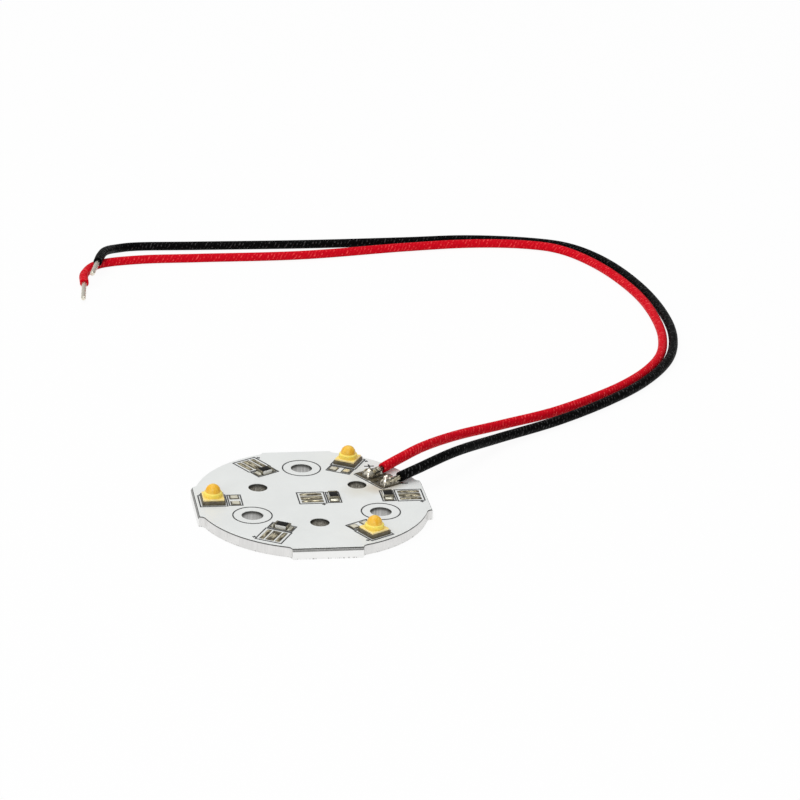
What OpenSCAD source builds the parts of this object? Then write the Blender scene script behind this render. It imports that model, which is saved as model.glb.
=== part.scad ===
// A round LED board on an aluminium core: three domed LEDs, four chip links and two soldered leads.
// Millimetres, +Z up, origin under the centre of the board, which lies flat on the table.

/* [Board] */
// Diameter of the round board
board_d = 30.3; // [29:0.1:36]
// Thickness of the board, from its underside to the top of the mask
board_t = 1.5; // [1:0.1:2.4]
// Width of each straight edge left by the scoring
tab_w = 9; // [7:0.2:10]
// Radius that the router leaves beside each straight edge
router_r = 0.8; // [0.3:0.1:0.8]
// Depth of the scored bevel along each straight edge
score_depth = 0.45; // [0.3:0.05:0.6]
// Width of the scored bevel, seen from above
score_run = 0.25; // [0.1:0.05:0.3]

/* [Layers] */
// Thickness of the insulating layer on the plate
dielectric_t = 0.1; // [0.06:0.01:0.15]
// Thickness of the copper
copper_t = 0.04; // [0.03:0.01:0.08]
// Thickness of the mask over the copper
mask_t = 0.03; // [0.02:0.01:0.05]
// Thickness of the tin on the pads
tin_t = 0.05; // [0.04:0.01:0.08]
// Thickness of the printed marks
ink_t = 0.03; // [0.02:0.01:0.05]
// Width of a printed line
ink_w = 0.16; // [0.1:0.02:0.2]
// Gap between neighbouring tracks
track_gap = 0.4; // [0.2:0.05:0.5]

/* [Holes] */
// Diameter of the screw holes
screw_hole_d = 2.8; // [2.2:0.1:3.4]
// Diameter of the circle that the screw holes lie on
screw_circle_d = 19.1; // [18.5:0.1:20]
// Diameter of the printed ring round each screw hole
screw_ring_d = 5; // [4.4:0.1:5.4]
// Diameter of the holes for the legs of a lens
leg_hole_d = 2.5; // [1.8:0.1:2.8]
// Diameter of the circle that the lens holes lie on
leg_circle_d = 15; // [14:0.1:15.4]

/* [LED sites] */
// Distance from the rim to the middle of an outer site
site_edge = 2.35; // [2.1:0.05:2.8]
// Length of the pad bars of a site
bar_l = 2.85; // [2.4:0.05:2.9]
// Width of the outer pad bars
bar_w = 0.6; // [0.4:0.05:0.7]
// Width of the middle pad bar
bar_mid_w = 1.1; // [0.8:0.05:1.2]
// Gap between pad bars
bar_gap = 0.22; // [0.15:0.01:0.3]
// Size of the printed square round a site
site_mark_w = 3.5; // [3.3:0.05:3.6]

/* [LEDs] */
// Width of the ceramic base
led_w = 3; // [2.8:0.05:3.1]
// Height of the ceramic base
led_base_h = 0.5; // [0.4:0.05:0.9]
// Width of the square flange of the lens
flange_w = 2.7; // [2.6:0.02:2.8]
// Thickness of the flange
flange_t = 0.26; // [0.16:0.01:0.32]
// Diameter of the dome
dome_d = 1.96; // [1.5:0.02:2]
// Height of the lens above the base
lens_h = 1.84; // [1.84:0.01:2.2]
// Diameter of the round brim below the dome
brim_d = 2.44; // [2.4:0.02:2.58]
// Height of the brim above the base
brim_h = 0.82; // [0.6:0.01:0.82]
// Radius of the brim's edge
brim_r = 0.2; // [0.1:0.01:0.2]
// Radius of the sweep at the foot of the dome
foot_r = 0.04; // [0.02:0.01:0.04]
// Width of the die
die_w = 1.1; // [0.6:0.05:1.2]
// Height of the die with its converter
die_h = 0.22; // [0.1:0.02:0.3]

/* [Chip links] */
// Distance from the middle of a site to the middle of its link
link_offset = 2.85; // [2.8:0.05:3]
// Length of a chip link
link_l = 2; // [1.8:0.05:2.1]
// Width of a chip link
link_w = 1.25; // [1:0.05:1.3]
// Height of a chip link
link_h = 0.5; // [0.35:0.05:0.7]
// Length of an end cap along the top
cap_l = 0.3; // [0.2:0.05:0.45]
// Thickness of an end cap
cap_t = 0.04; // [0.03:0.01:0.06]
// Size of a solder fillet at the end of a link
fillet_s = 0.34; // [0.2:0.02:0.34]
// Length of a link pad
link_pad_l = 1.2; // [1.1:0.05:1.25]
// Width of a link pad
link_pad_w = 1.3; // [1.3:0.05:1.4]
// Gap between the two link pads
link_pad_gap = 0.6; // [0.5:0.05:0.8]
// Width of the printed rectangle round a link, along the radius
link_mark_w = 1.7; // [1.65:0.05:1.75]
// Length of the printed rectangle round a link
link_mark_l = 3.24; // [3.2:0.02:3.5]

/* [Leads] */
// Diameter of the insulation
lead_d = 1.35; // [1.1:0.05:1.4]
// Diameter of the bare strands
core_d = 0.74; // [0.5:0.02:0.9]
// Length of the bare strands at the red joint
red_tail_l = 1.6; // [1.2:0.1:2]
// Length of the bare strands at the black joint
black_tail_l = 2.4; // [1.6:0.1:2.6]
// Length of the bare tip of the red lead
red_tip_l = 6.5; // [3:0.5:9]
// Length of the bare tip of the black lead
black_tip_l = 5; // [3:0.5:9]
// Width of a lead pad
lead_pad_w = 2.7; // [2.4:0.1:2.8]
// Distance from the rim to the outer end of a lead pad
lead_pad_edge = 2.25; // [1.8:0.05:2.6]
// Distance from the lens hole to the inner end of a lead pad
lead_pad_gap = 0.75; // [0.6:0.05:1.2]
// Radius of the foot of the red joint
red_mound_r = 1.25; // [1:0.05:1.3]
// Height of the red joint
red_mound_h = 1.1; // [0.95:0.05:1.2]
// Radius of the foot of the black joint
black_mound_r = 0.8; // [0.7:0.05:0.85]
// Height of the black joint
black_mound_h = 0.75; // [0.6:0.05:0.8]

/* [Hidden] */
$fn = 64;
board_r = board_d / 2;
plate_t = board_t - dielectric_t - copper_t - mask_t;
z_copper = plate_t + dielectric_t;
z_window = z_copper + copper_t;
z_pad = z_window + tin_t;

// the sweep beside a straight edge, kept small enough to end on that edge
sweep_r = min(router_r, 0.95 * tab_w * tab_w / (4 * (board_d - tab_w)));
sweep_y = tab_w / 2 + sweep_r;
sweep_x = sqrt((board_r + sweep_r) * (board_r + sweep_r) - sweep_y * sweep_y);

site_r = board_r - site_edge;
copper_margin = 0.275;
copper_r = site_r + bar_l / 2 + copper_margin;
hole_clear = 0.5;
hub_r = 5.2;
hub_slot_r = 4;

// the bar pads, from the clockwise side to the other
bar_y = bar_mid_w / 2 + bar_gap + bar_w / 2;
link_pad_y = (link_pad_gap + link_pad_l) / 2;

lead_angle = 30;
lead_pad_in = (leg_circle_d + leg_hole_d) / 2 + lead_pad_gap;
lead_pad_l = board_r - lead_pad_edge - lead_pad_in;
lead_pad_split = 0.6;
lead_pad_t = (lead_pad_w + lead_pad_split) / 2;
lead_line_u = lead_pad_in - 0.2;
lead_line_l = 2 * lead_pad_w + lead_pad_split - 0.2;

// where the joints stand, along the radius at the lead pads and across it
red_mound_at = [lead_pad_in + 0.37 * lead_pad_l, 1.3];
black_mound_at = [lead_pad_in + 0.25 * lead_pad_l, -2.15];

led_angles = [180, 60, 300];
link_angles = [0, 120, 240];

// Each row of a route: x and y from the rim at the lead pads, then the height of the underside
// in board thicknesses and in lead diameters.
red_route = [
    [-2.8, -0.5, 1.06, 0],
    [0, 1.9, 1.26, 0],
    [3.9, 5.6, 1.28, 0],
    [9.5, 11.2, 0.64, 0],
    [16.9, 16.3, 0.12, 0],
    [26, 21.3, 0, 0],
    [36.8, 29.6, 0, 0],
    [43.7, 38.3, 0, 0],
    [46.8, 47.3, 0, 0],
    [47.7, 57.8, 0, 0],
    [46.9, 67.4, 0, 0],
    [44.2, 77.5, 0, 0],
    [40, 85, 0, 0],
    [34.5, 88, 0, 0],
    [25.7, 88.9, 0, 0],
    [14.7, 87.7, 0, 0],
    [-1.5, 85, 0, 0],
    [-17.6, 84.5, 0, 0],
    [-26.7, 84.2, 0, 0],
    [-33.1, 82.5, 0, 0],
    [-35.6, 78.5, 0, 0],
    [-36, 74.4, 0, 0],
];
black_route = [
    [-1, -3.5, 1.06, 0],
    [1.7, -1.8, 1.3, 0],
    [7.7, 3.1, 1.4, 0],
    [15, 10.5, 0.42, 0],
    [24.7, 17.3, 0.05, 0],
    [33.6, 24.2, 0, 0],
    [40.3, 30.8, 0, 0],
    [45.5, 38.5, 0, 0],
    [48.3, 46.8, 0, 0],
    [49.3, 56.1, 0, 0],
    [48.6, 67.3, 0, 0],
    [45.9, 78.5, 0, 0],
    [41.5, 86.1, 0, 0],
    [35.3, 89.3, 0, 0],
    [25.5, 90.9, 0, 0],
    [14.9, 90.4, 0, 0],
    [-0.5, 89.9, 0, 0],
    [-17.2, 90, 0, 0],
    [-26.3, 90, 0, 0.03],
    [-30, 88.2, 0, 0.3],
    [-32, 84.7, 0, 0.96],
    [-33, 81.8, 0, 1.13],
    [-33.6, 79.4, 0, 1.1],
];
table_gap = 0.02;
rim_at = board_r * [cos(lead_angle), sin(lead_angle)];
lead_sides = 8;
lead_steps = 2;

function unit(v) = v / norm(v);

function lift(row) = [
    rim_at[0] + row[0],
    rim_at[1] + row[1],
    lead_d / 2 + table_gap + row[2] * board_t + row[3] * lead_d,
];

function spot(rows, i) =
    i < 0 ? 2 * lift(rows[0]) - lift(rows[1]) :
    i > len(rows) - 1 ? 2 * lift(rows[len(rows) - 1]) - lift(rows[len(rows) - 2]) :
    lift(rows[i]);

function blend(a, b, c, d, t) =
    b + t * (c - a) / 2 + t * t * (a - 2.5 * b + 2 * c - d / 2) + t * t * t * (1.5 * (b - c) + (d - a) / 2);

function path(rows) = [
    for (i = [0 : len(rows) - 2])
        for (k = [0 : lead_steps - 1])
            blend(spot(rows, i - 1), spot(rows, i), spot(rows, i + 1), spot(rows, i + 2), k / lead_steps),
    lift(rows[len(rows) - 1]),
];

function start_way(rows) = unit(lift(rows[1]) - lift(rows[0]));

function end_way(rows) = unit(lift(rows[len(rows) - 1]) - lift(rows[len(rows) - 2]));

function way(rows, line, i) =
    i == 0 ? start_way(rows) :
    i == len(line) - 1 ? end_way(rows) :
    unit(line[i + 1] - line[i - 1]);

function ring(at, along, r) =
    let (side = unit(cross(along, [0, 0, 1])))
    let (up = cross(side, along))
    [for (k = [0 : lead_sides - 1]) at + r * (cos(k * 360 / lead_sides) * side + sin(k * 360 / lead_sides) * up)];

// Flat shapes

module tab_shape() {
    translate([0, -tab_w / 2])
        square([board_r, tab_w]);
    for (s = [-1, 1])
        difference() {
            polygon([
                [sweep_x, s * sweep_y] * board_r / (board_r + sweep_r),
                [sweep_x, s * sweep_y],
                [sweep_x, s * tab_w / 2],
                [sweep_x - sweep_r, s * (tab_w / 2 - 0.2)],
            ]);
            translate([sweep_x, s * sweep_y])
                circle(r = sweep_r);
        }
}

module hole_shapes(extra = 0) {
    for (a = [90, 210, 330])
        rotate(a)
            translate([screw_circle_d / 2, 0])
                circle(d = screw_hole_d + 2 * extra);
    for (a = [30, 150, 270])
        rotate(a)
            translate([leg_circle_d / 2, 0])
                circle(d = leg_hole_d + 2 * extra);
}

module board_shape() {
    difference() {
        union() {
            circle(r = board_r);
            for (a = [0 : 90 : 270])
                rotate(a)
                    tab_shape();
        }
        hole_shapes();
    }
}

module box_shape(l, w) {
    square([l, w], center = true);
}

module frame_shape(l, w) {
    difference() {
        box_shape(l + ink_w, w + ink_w);
        box_shape(l - ink_w, w - ink_w);
    }
}

module round_box_shape(w, r) {
    box_shape(w - 2 * r, w);
    box_shape(w, w - 2 * r);
    for (x = [-1, 1])
        for (y = [-1, 1])
            translate([x, y] * (w / 2 - r))
                circle(r = r);
}

module sector(a, b) {
    polygon([
        [0, 0],
        board_d * [cos(a), sin(a)],
        board_d * [cos((a + b) / 2), sin((a + b) / 2)],
        board_d * [cos(b), sin(b)],
    ]);
}

module band(r) {
    difference() {
        circle(r = r + track_gap);
        circle(r = r);
    }
}

module slot(a, from) {
    rotate(a)
        translate([from, -track_gap / 2])
            square([board_r - from, track_gap]);
}

module at_sites() {
    children();
    for (a = [0 : 60 : 300])
        rotate(a)
            translate([site_r, 0, 0])
                children();
}

module at_links() {
    translate([link_offset, 0, 0])
        children();
    for (a = [0 : 60 : 300])
        rotate(a)
            translate([site_r - link_offset, 0, 0])
                children();
}

module bar_shapes() {
    box_shape(bar_l, bar_mid_w);
    for (s = [-1, 1])
        translate([0, s * bar_y])
            box_shape(bar_l, bar_w);
}

module link_pad_shapes() {
    for (s = [-1, 1])
        translate([0, s * link_pad_y])
            box_shape(link_pad_w, link_pad_l);
}

module lead_pad_shapes() {
    for (s = [-1, 1])
        rotate(lead_angle)
            translate([lead_pad_in + lead_pad_l / 2, s * lead_pad_t])
                box_shape(lead_pad_l, lead_pad_w);
}

// The sites make one string: each slot parts the two ends of a site, and the hub joins the fifth and sixth tracks.
module track_shapes() {
    difference() {
        circle(r = copper_r);
        hole_shapes(hole_clear);
        for (a = [0 : 60 : 300])
            slot(a, hub_r);
        slot(lead_angle, hub_r);
        slot(270, hub_slot_r);
        difference() {
            band(hub_r);
            sector(246, 294);
        }
        intersection() {
            band(hub_slot_r);
            sector(269, 360);
        }
        translate([-hub_r - track_gap, -track_gap / 2])
            square([hub_r + hub_slot_r + 1.5 * track_gap, track_gap]);
        at_sites()
            box_shape(bar_l + 2 * bar_gap, bar_mid_w + 1.8 * bar_gap);
    }
    at_sites()
        box_shape(bar_l, bar_mid_w);
}

module mark_shapes() {
    for (a = [90, 210, 330])
        rotate(a)
            translate([screw_circle_d / 2, 0])
                difference() {
                    circle(d = screw_ring_d + ink_w);
                    circle(d = screw_ring_d - ink_w);
                }
    at_sites()
        frame_shape(site_mark_w, site_mark_w);
    at_links()
        frame_shape(link_mark_w, link_mark_l);
    rotate(lead_angle)
        translate([lead_line_u, 0])
            box_shape(ink_w, lead_line_l);
}

// Solid shapes

module score_cuts() {
    for (a = [0 : 90 : 270])
        rotate([90, 0, a])
            linear_extrude(height = tab_w + 2, center = true)
                polygon([
                    [board_r - score_run, board_t + 1],
                    [board_r - score_run, board_t],
                    [board_r, board_t - score_depth],
                    [board_r + 1, board_t - score_depth],
                    [board_r + 1, board_t + 1],
                ]);
}

module at_led(i) {
    rotate(led_angles[i])
        translate([site_r, 0, z_pad])
            children();
}

module led_base(i) {
    at_led(i)
        linear_extrude(height = led_base_h)
            round_box_shape(led_w, 0.12);
}

module led_die(i) {
    at_led(i)
        translate([-die_w / 2, -die_w / 2, led_base_h])
            cube([die_w, die_w, die_h]);
}

module lens_profile() {
    straight = lens_h - dome_d / 2;
    sweep = min(foot_r, brim_d / 2 - brim_r - dome_d / 2, straight - brim_h);
    square([dome_d / 2, straight]);
    intersection() {
        translate([0, straight])
            circle(d = dome_d);
        translate([0, straight])
            square(dome_d);
    }
    square([brim_d / 2, brim_h - brim_r]);
    square([brim_d / 2 - brim_r, brim_h]);
    translate([brim_d / 2 - brim_r, brim_h - brim_r])
        circle(r = brim_r);
    if (sweep > 0)
        translate([dome_d / 2, brim_h])
            difference() {
                square(sweep);
                translate([sweep, sweep])
                    circle(r = sweep);
            }
}

module led_lens(i) {
    at_led(i)
        translate([0, 0, led_base_h])
            difference() {
                union() {
                    linear_extrude(height = flange_t)
                        round_box_shape(flange_w, 0.1);
                    rotate_extrude()
                        lens_profile();
                }
                translate([-die_w / 2, -die_w / 2, -1])
                    cube([die_w, die_w, 1 + die_h]);
            }
}

module at_link(i) {
    if (i < 3)
        rotate(link_angles[i])
            translate([site_r - link_offset, 0, z_pad])
                children();
    else
        translate([link_offset, 0, z_pad])
            children();
}

module link_body(i) {
    at_link(i)
        translate([-link_w / 2, cap_t - link_l / 2, cap_t])
            cube([link_w, link_l - 2 * cap_t, link_h - 2 * cap_t]);
}

module link_overcoat(i) {
    at_link(i)
        translate([-link_w / 2, cap_l - link_l / 2, link_h - cap_t])
            cube([link_w, link_l - 2 * cap_l, cap_t]);
}

module link_caps(i) {
    at_link(i)
        for (a = [0, 180])
            rotate(a)
                translate([-link_w / 2, link_l / 2 - cap_l, 0])
                    difference() {
                        cube([link_w, cap_l, link_h]);
                        translate([-1, -1, cap_t])
                            cube([link_w + 2, 1 + cap_l - cap_t, link_h - 2 * cap_t]);
                    }
}

module link_fillets(i) {
    at_link(i)
        for (a = [0, 180])
            rotate(a)
                translate([link_w / 2 - 0.02, link_l / 2, 0])
                    rotate([90, 0, -90])
                        mirror([1, 0, 0])
                            linear_extrude(height = link_w - 0.04)
                                difference() {
                                    square(fillet_s);
                                    translate([fillet_s, fillet_s] * 1.04)
                                        circle(r = fillet_s);
                                }
}

module strand(at, along, l) {
    translate(at)
        rotate([0, acos(along[2]), atan2(along[1], along[0])])
            cylinder(d = core_d, h = l);
}

module tube(rows) {
    line = path(rows);
    n = len(line);
    m = lead_sides;
    points = [for (i = [0 : n - 1]) each ring(line[i], way(rows, line, i), lead_d / 2)];
    walls = [
        for (i = [0 : n - 2])
            for (k = [0 : m - 1])
                [i * m + k, i * m + (k + 1) % m, (i + 1) * m + (k + 1) % m, (i + 1) * m + k],
    ];
    ends = [[for (k = [0 : m - 1]) m - 1 - k], [for (k = [0 : m - 1]) (n - 1) * m + k]];
    polyhedron(points = points, faces = concat(walls, ends));
}

module mound(at, r, h) {
    ball = (r * r + h * h) / (2 * h);
    rotate(lead_angle)
        translate([at[0], at[1], z_pad])
            rotate_extrude()
                intersection() {
                    translate([0, h - ball])
                        circle(r = ball);
                    square([r, h]);
                }
}

// The pieces

module base_plate() {
    color([0.8, 0.81, 0.82])
        difference() {
            linear_extrude(height = plate_t)
                board_shape();
            score_cuts();
        }
}

module dielectric_layer() {
    color([0.2, 0.19, 0.17])
        difference() {
            translate([0, 0, plate_t])
                linear_extrude(height = dielectric_t)
                    board_shape();
            score_cuts();
        }
}

module copper_tracks() {
    color([0.72, 0.42, 0.26])
        translate([0, 0, z_copper])
            linear_extrude(height = copper_t)
                track_shapes();
}

module solder_mask() {
    color([0.91, 0.92, 0.92])
        difference() {
            translate([0, 0, z_copper])
                linear_extrude(height = copper_t + mask_t)
                    board_shape();
            translate([0, 0, z_copper - 1])
                linear_extrude(height = 1 + copper_t)
                    track_shapes();
            translate([0, 0, z_copper - 1])
                linear_extrude(height = 2) {
                    at_sites()
                        bar_shapes();
                    at_links()
                        link_pad_shapes();
                    lead_pad_shapes();
                }
            score_cuts();
        }
}

module led_pads() {
    color([0.66, 0.64, 0.58])
        translate([0, 0, z_window])
            linear_extrude(height = tin_t)
                at_sites()
                    bar_shapes();
}

module link_pads() {
    color([0.66, 0.64, 0.58])
        translate([0, 0, z_window])
            linear_extrude(height = tin_t)
                at_links()
                    link_pad_shapes();
}

module lead_pads() {
    color([0.66, 0.64, 0.58])
        translate([0, 0, z_window])
            linear_extrude(height = tin_t)
                lead_pad_shapes();
}

module printed_marks() {
    color([0.05, 0.05, 0.05])
        translate([0, 0, board_t])
            linear_extrude(height = ink_t)
                mark_shapes();
}

module led_base_1() {
    color([0.26, 0.24, 0.22])
        led_base(0);
}

module led_base_2() {
    color([0.26, 0.24, 0.22])
        led_base(1);
}

module led_base_3() {
    color([0.26, 0.24, 0.22])
        led_base(2);
}

module led_die_1() {
    color([0.9, 0.78, 0.2])
        led_die(0);
}

module led_die_2() {
    color([0.9, 0.78, 0.2])
        led_die(1);
}

module led_die_3() {
    color([0.9, 0.78, 0.2])
        led_die(2);
}

module led_lens_1() {
    color([0.96, 0.7, 0.22])
        led_lens(0);
}

module led_lens_2() {
    color([0.96, 0.7, 0.22])
        led_lens(1);
}

module led_lens_3() {
    color([0.96, 0.7, 0.22])
        led_lens(2);
}

module link_body_1() {
    color([0.9, 0.89, 0.85])
        link_body(0);
}

module link_body_2() {
    color([0.9, 0.89, 0.85])
        link_body(1);
}

module link_body_3() {
    color([0.9, 0.89, 0.85])
        link_body(2);
}

module link_body_4() {
    color([0.9, 0.89, 0.85])
        link_body(3);
}

module link_overcoat_1() {
    color([0.07, 0.07, 0.07])
        link_overcoat(0);
}

module link_overcoat_2() {
    color([0.07, 0.07, 0.07])
        link_overcoat(1);
}

module link_overcoat_3() {
    color([0.07, 0.07, 0.07])
        link_overcoat(2);
}

module link_overcoat_4() {
    color([0.07, 0.07, 0.07])
        link_overcoat(3);
}

module link_caps_1() {
    color([0.78, 0.78, 0.77])
        link_caps(0);
}

module link_caps_2() {
    color([0.78, 0.78, 0.77])
        link_caps(1);
}

module link_caps_3() {
    color([0.78, 0.78, 0.77])
        link_caps(2);
}

module link_caps_4() {
    color([0.78, 0.78, 0.77])
        link_caps(3);
}

module link_solder() {
    color([0.72, 0.72, 0.7])
        for (i = [0 : 3])
            link_fillets(i);
}

module red_joint() {
    color([0.75, 0.75, 0.73])
        difference() {
            mound(red_mound_at, red_mound_r, red_mound_h);
            strand(lift(red_route[0]), -start_way(red_route), red_tail_l);
        }
}

module black_joint() {
    color([0.75, 0.75, 0.73])
        difference() {
            mound(black_mound_at, black_mound_r, black_mound_h);
            strand(lift(black_route[0]), -start_way(black_route), black_tail_l);
        }
}

module red_tail() {
    color([0.8, 0.8, 0.78])
        strand(lift(red_route[0]), -start_way(red_route), red_tail_l);
}

module black_tail() {
    color([0.8, 0.8, 0.78])
        strand(lift(black_route[0]), -start_way(black_route), black_tail_l);
}

module red_lead() {
    color([0.76, 0.04, 0.08])
        tube(red_route);
}

module black_lead() {
    color([0.05, 0.05, 0.05])
        tube(black_route);
}

module red_tip() {
    color([0.8, 0.8, 0.78])
        strand(lift(red_route[len(red_route) - 1]), end_way(red_route), red_tip_l);
}

module black_tip() {
    color([0.8, 0.8, 0.78])
        strand(lift(black_route[len(black_route) - 1]), end_way(black_route), black_tip_l);
}

base_plate();
dielectric_layer();
copper_tracks();
solder_mask();
led_pads();
link_pads();
lead_pads();
printed_marks();
led_base_1();
led_base_2();
led_base_3();
led_die_1();
led_die_2();
led_die_3();
led_lens_1();
led_lens_2();
led_lens_3();
link_body_1();
link_body_2();
link_body_3();
link_body_4();
link_overcoat_1();
link_overcoat_2();
link_overcoat_3();
link_overcoat_4();
link_caps_1();
link_caps_2();
link_caps_3();
link_caps_4();
link_solder();
red_joint();
black_joint();
red_tail();
black_tail();
red_lead();
black_lead();
red_tip();
black_tip();
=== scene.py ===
"""Looks of an LED array: a round white board, three domed LEDs, four chip links and two leads.

Lengths are in millimetres in the board's frame. A piece is brought to metres when it is finished.
"""
import math

import bmesh
import bpy
from mathutils import Matrix, Vector, noise


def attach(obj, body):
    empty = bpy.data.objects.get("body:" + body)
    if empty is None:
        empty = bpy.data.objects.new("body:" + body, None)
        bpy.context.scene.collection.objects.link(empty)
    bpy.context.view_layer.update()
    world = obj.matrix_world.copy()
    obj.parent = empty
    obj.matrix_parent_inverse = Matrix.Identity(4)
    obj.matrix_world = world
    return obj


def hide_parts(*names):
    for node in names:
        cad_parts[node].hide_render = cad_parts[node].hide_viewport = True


MM = 0.001

# board and heights of its layers
BOARD_R = 15.15
BOARD_T = 1.5
PLATE_TOP = 1.33
MASK_TOP = 1.5
PAD_TOP = 1.52

# LED sites: one at the middle and six along the rim
SITE_R = 12.8
RIM_SITES = (0, 60, 120, 180, 240, 300)
LED_SITES = (180, 60, 300)
LINKED_SITES = (0, 120, 240)
BAR_L, BAR_W, BAR_MID_W, BAR_GAP = 2.85, 0.6, 1.1, 0.22

# LEDs
LED_W, LED_BASE_H = 3.0, 0.5
FLANGE_W, FLANGE_T = 2.7, 0.26
DOME_D, LENS_H = 1.96, 1.84
BRIM_D, BRIM_H, BRIM_R = 2.44, 0.82, 0.2

# chip links
LINK_OFFSET = 2.85
LINK_L, LINK_W, LINK_H = 2.0, 1.25, 0.5
CAP_L, OVERCOAT_T = 0.3, 0.08
LINK_PAD_L, LINK_PAD_W, LINK_PAD_GAP = 1.2, 1.3, 0.6

# leads
LEAD_D, CORE_D = 1.35, 0.74
LEAD_ANGLE = 30
LEAD_PAD_IN, LEAD_PAD_L, LEAD_PAD_W, LEAD_PAD_T = 9.5, 3.4, 2.7, 1.65
TABLE_GAP = 0.02
RED_BARE, BLACK_BARE = (1.6, 6.5), (2.4, 5.0)  # bare strands at the joint and at the free end
STRANDS_SUNK, LEAD_STEP = 0.2, 0.25
RIM_AT = (BOARD_R * math.cos(math.radians(LEAD_ANGLE)), BOARD_R * math.sin(math.radians(LEAD_ANGLE)))

# lumps of the joints: out along the leads' radius and across it; the ridge by its side, start and end
RED_BLOB, RED_NECK = (10.54, 1.24), (11.66, 0.9)
BLACK_FRONT, BLACK_BEHIND, BLACK_BRIDGE = (10.3, -2.3), (11.7, -1.2), (11.2, -1.85)
BLACK_RIDGE = (-2.5, 10.4, 12.2)
RIDGE_SINKS, SINK_L, SINK = 11.7, 0.7, 0.5  # where the ridge goes down towards its lead, over what, how far

# printed signs: thickness, a site's plus by place and size, and the plus and minus of the leads
SIGN_T = 0.035
SITE_SIGN_AT, SITE_SIGN_L, SITE_SIGN_W = (1.32, -2.08), 0.52, 0.14
LEAD_PLUS_AT, LEAD_MINUS_AT = (9.0, 9.55), (12.75, 3.75)

# floor and lamps, in metres; the floor's share of plain white where it is seen
FLOOR_SIZE, FLOOR_DROP, WHITE_SHARE = 4.0, 0.00002, 0.94
LAMP_AIM = (0.02, 0.03, 0)

# along, across, board thicknesses up, lead widths up, all from the rim beside the lead pads
RED_ROUTE = [
    (-2.8, -0.5, 1.06, 0), (0, 1.9, 1.26, 0), (3.9, 5.6, 1.28, 0), (9.5, 11.2, 0.64, 0),
    (16.9, 16.3, 0.12, 0), (26, 21.3, 0, 0), (36.8, 29.6, 0, 0), (43.7, 38.3, 0, 0), (46.8, 47.3, 0, 0),
    (47.7, 57.8, 0, 0), (46.9, 67.4, 0, 0), (44.2, 77.5, 0, 0), (40, 85, 0, 0), (34.5, 88, 0, 0),
    (25.7, 88.9, 0, 0), (14.7, 87.7, 0, 0), (-1.5, 85, 0, 0), (-17.6, 84.5, 0, 0), (-26.7, 84.2, 0, 0),
    (-33.1, 82.5, 0, 0), (-35.6, 78.5, 0, 0), (-36, 74.4, 0, 0),
]
BLACK_ROUTE = [
    (-1, -3.5, 1.06, 0), (1.7, -1.8, 1.3, 0), (7.7, 3.1, 1.4, 0), (15, 10.5, 0.42, 0),
    (24.7, 17.3, 0.05, 0), (33.6, 24.2, 0, 0), (40.3, 30.8, 0, 0), (45.5, 38.5, 0, 0),
    (48.3, 46.8, 0, 0), (49.3, 56.1, 0, 0), (48.6, 67.3, 0, 0), (45.9, 78.5, 0, 0), (41.5, 86.1, 0, 0),
    (35.3, 89.3, 0, 0), (25.5, 90.9, 0, 0), (14.9, 90.4, 0, 0), (-0.5, 89.9, 0, 0), (-17.2, 90, 0, 0),
    (-26.3, 90, 0, 0.03), (-30, 88.2, 0, 0.3), (-32, 84.7, 0, 0.96), (-33, 81.8, 0, 1.13),
    (-33.6, 79.4, 0, 1.1),
]

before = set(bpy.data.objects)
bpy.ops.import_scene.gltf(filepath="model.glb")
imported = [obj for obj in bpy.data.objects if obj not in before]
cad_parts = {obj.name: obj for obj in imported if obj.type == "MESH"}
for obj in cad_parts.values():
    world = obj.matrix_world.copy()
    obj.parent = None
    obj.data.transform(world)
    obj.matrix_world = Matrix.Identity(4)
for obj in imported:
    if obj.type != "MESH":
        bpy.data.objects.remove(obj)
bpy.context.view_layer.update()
scene = bpy.context.scene
scene.view_settings.view_transform = "Standard"


# Shader nodes


def add_node(tree, kind, fed=None, **set_to):
    """A shader node with its settings, and its inputs fed by sockets or set to values."""
    made = tree.nodes.new("ShaderNode" + kind)
    for name, value in set_to.items():
        setattr(made, name, value)
    for name, value in (fed or {}).items():
        if isinstance(value, bpy.types.NodeSocket):
            tree.links.new(value, made.inputs[name])
        else:
            made.inputs[name].default_value = value
    return made


def math_node(tree, operation, a, b=0.0):
    """The result of one step of arithmetic on one or two values."""
    return add_node(tree, "Math", {0: a, 1: b}, operation=operation).outputs[0]


def times(tree, a, b):
    """The product of two values."""
    return math_node(tree, "MULTIPLY", a, b)


def plus(tree, a, b):
    """The sum of two values."""
    return math_node(tree, "ADD", a, b)


def size_of(tree, value):
    """A value without its sign."""
    return math_node(tree, "ABSOLUTE", value)


def mixed_colour(tree, share, first, second):
    """One colour going over to another as the share goes from 0 to 1."""
    return add_node(tree, "Mix", {0: share, 6: first, 7: second}, data_type="RGBA").outputs[2]


def stretched(tree, value, low, high, to_low=0.0, to_high=1.0):
    """A value taken from one range to another and held inside it."""
    return add_node(tree, "MapRange", {"Value": value, "From Min": low, "From Max": high,
                                       "To Min": to_low, "To Max": to_high}).outputs[0]


def place_in_mm(tree, scale=(1, 1, 1)):
    """The place on the object in millimetres, stretched by a scale along each axis."""
    place = add_node(tree, "TexCoord").outputs["Object"]
    scale = tuple(s / MM for s in scale)
    return add_node(tree, "Mapping", {"Vector": place, "Scale": scale}).outputs[0]


# Camera, floor and light


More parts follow.
